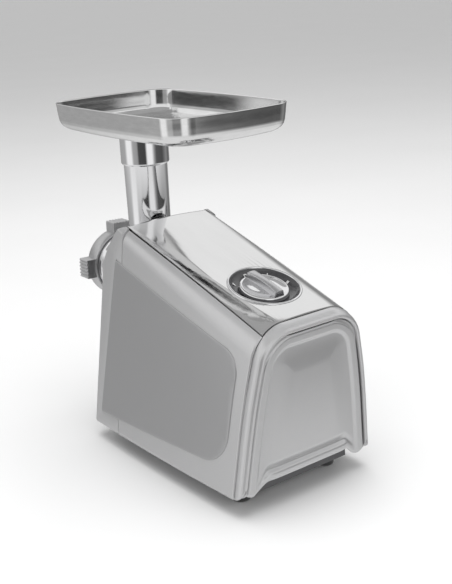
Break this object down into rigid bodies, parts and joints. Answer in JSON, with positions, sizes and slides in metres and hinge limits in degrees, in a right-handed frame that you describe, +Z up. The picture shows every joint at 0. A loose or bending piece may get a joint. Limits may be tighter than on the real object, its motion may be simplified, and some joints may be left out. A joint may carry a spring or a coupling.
{
  "type": "electric meat grinder",
  "caption": "Free-standing kitchen meat grinder: sloping silver housing with a rotary switch, upright feed tube with a dish tray, and a screw-ring grinding head at the front.",
  "frame": {"origin": "on the table, under the middle of the machine's overall length and width", "axes": "+Z up, -Y towards the front where the mince comes out, +X to the left of someone standing behind the machine"},
  "size_m": [0.176, 0.3474, 0.37],
  "materials": {
    "housing_silver": "satin silver paint on moulded plastic",
    "panel_grey": "satin grey side panel",
    "cover_steel": "brushed and polished stainless steel",
    "frame_silver": "bright silver frame",
    "base_grey": "dark grey moulded plastic",
    "rubber_black": "black rubber",
    "tray_metal": "polished pressed aluminium",
    "head_aluminium": "polished cast aluminium",
    "ring_aluminium": "cast aluminium, matt",
    "cutting_steel": "ground steel",
    "dial_dark": "dark dial ring with white marks",
    "knob_chrome": "chromed knob",
    "socket_plastic": "grey moulded plastic",
    "gear_plastic": "natural nylon",
    "gear_steel": "steel",
    "bronze": "sintered bronze",
    "copper_wire": "enamelled copper wire",
    "carbon": "carbon",
    "black_plastic": "black moulded plastic",
    "zinc_steel": "zinc plated steel"
  },
  "bodies": {
    "housing": {"base_plate": "base_grey", "base_screws": "zinc_steel", "brush_holders": "black_plastic", "capacitor_saddle": "black_plastic", "carbon_brushes": "carbon", "cord_inlet": "black_plastic", "dial_recess": "dial_dark", "field_coils": "copper_wire", "first_spindle": "gear_steel", "foot_screws": "zinc_steel", "gearbox_case": "socket_plastic", "gearbox_cover": "socket_plastic", "gearbox_screws": "zinc_steel", "head_socket": "socket_plastic", "lock_bracket": "zinc_steel", "lock_spring": "zinc_steel", "motor_bearings": "bronze", "motor_bolts": "zinc_steel", "motor_capacitor": "zinc_steel", "motor_front_bracket": "zinc_steel", "motor_rear_bracket": "zinc_steel", "output_bush": "bronze", "rear_cover": "housing_silver", "rear_frame": "frame_silver", "rotary_switch": "black_plastic", "rubber_feet": "rubber_black", "second_spindle": "gear_steel", "side_panel_left": "panel_grey", "side_panel_right": "panel_grey", "side_shell_left": "housing_silver", "side_shell_right": "housing_silver", "stator_core": "gear_steel", "terminal_block": "black_plastic", "top_cover": "cover_steel"},
    "head": {"grinder_head": "head_aluminium", "head_bush": "bronze", "grinding_plate": "cutting_steel"},
    "ring": {"fixing_ring": "ring_aluminium"},
    "tray": {"hopper_tray": "tray_metal"},
    "screw": {"feed_screw": "ring_aluminium", "knife": "cutting_steel"},
    "dial": {"dial_knob": "knob_chrome", "dial_spindle": "zinc_steel"},
    "button": {"lock_button": "socket_plastic"},
    "rotor": {"motor_shaft": "gear_steel", "rotor_core": "gear_steel", "rotor_windings": "copper_wire", "commutator": "copper_wire", "cooling_fan": "black_plastic"},
    "first_gear": {"first_gear": "gear_plastic"},
    "second_gear": {"second_gear": "gear_plastic"},
    "output": {"output_gear": "gear_steel", "output_shaft": "gear_steel"}
  },
  "joints": [
    {"name": "head_pull", "type": "slide", "parent": "housing", "child": "head", "axis": [0, -1, 0], "range_m": [0, 0.06]},
    {"name": "ring_unscrew", "type": "hinge", "parent": "head", "child": "ring", "pos_m": [0, -0.162, 0.1756], "axis": [0, -1, 0], "range_deg": [0, 900]},
    {"name": "tray_lift", "type": "slide", "parent": "head", "child": "tray", "axis": [0, 0, 1], "range_m": [0, 0.03]},
    {"name": "screw_turn", "type": "hinge", "parent": "head", "child": "screw", "pos_m": [0, -0.09, 0.1756], "axis": [0, 1, 0], "continuous": true},
    {"name": "dial_turn", "type": "hinge", "parent": "housing", "child": "dial", "pos_m": [0, 0.1068, 0.20211], "axis": [0, 0.2588, 0.9659], "range_deg": [-45, 90]},
    {"name": "button_press", "type": "slide", "parent": "housing", "child": "button", "axis": [0, 1, 0], "range_m": [0, 0.004], "stiffness_N_per_m": 900, "springref_m": -0.003, "deforming": ["lock_spring"]},
    {"name": "motor_turn", "type": "hinge", "parent": "housing", "child": "rotor", "pos_m": [0, 0.04, 0.078], "axis": [0, 1, 0], "continuous": true},
    {"name": "first_gear_turn", "type": "hinge", "parent": "housing", "child": "first_gear", "pos_m": [0.01464, -0.015, 0.11089], "axis": [0, 1, 0], "continuous": true},
    {"name": "second_gear_turn", "type": "hinge", "parent": "housing", "child": "second_gear", "pos_m": [-0.01227, -0.025, 0.137], "axis": [0, 1, 0], "continuous": true},
    {"name": "output_turn", "type": "hinge", "parent": "housing", "child": "output", "pos_m": [0, -0.035, 0.1756], "axis": [0, 1, 0], "continuous": true}
  ],
  "couplings": [
    {"joint": "motor_turn", "follows": "second_gear_turn", "ratio": 20},
    {"joint": "first_gear_turn", "follows": "second_gear_turn", "ratio": -4},
    {"joint": "output_turn", "follows": "second_gear_turn", "ratio": -0.28571},
    {"joint": "screw_turn", "follows": "second_gear_turn", "ratio": -0.28571}
  ]
}
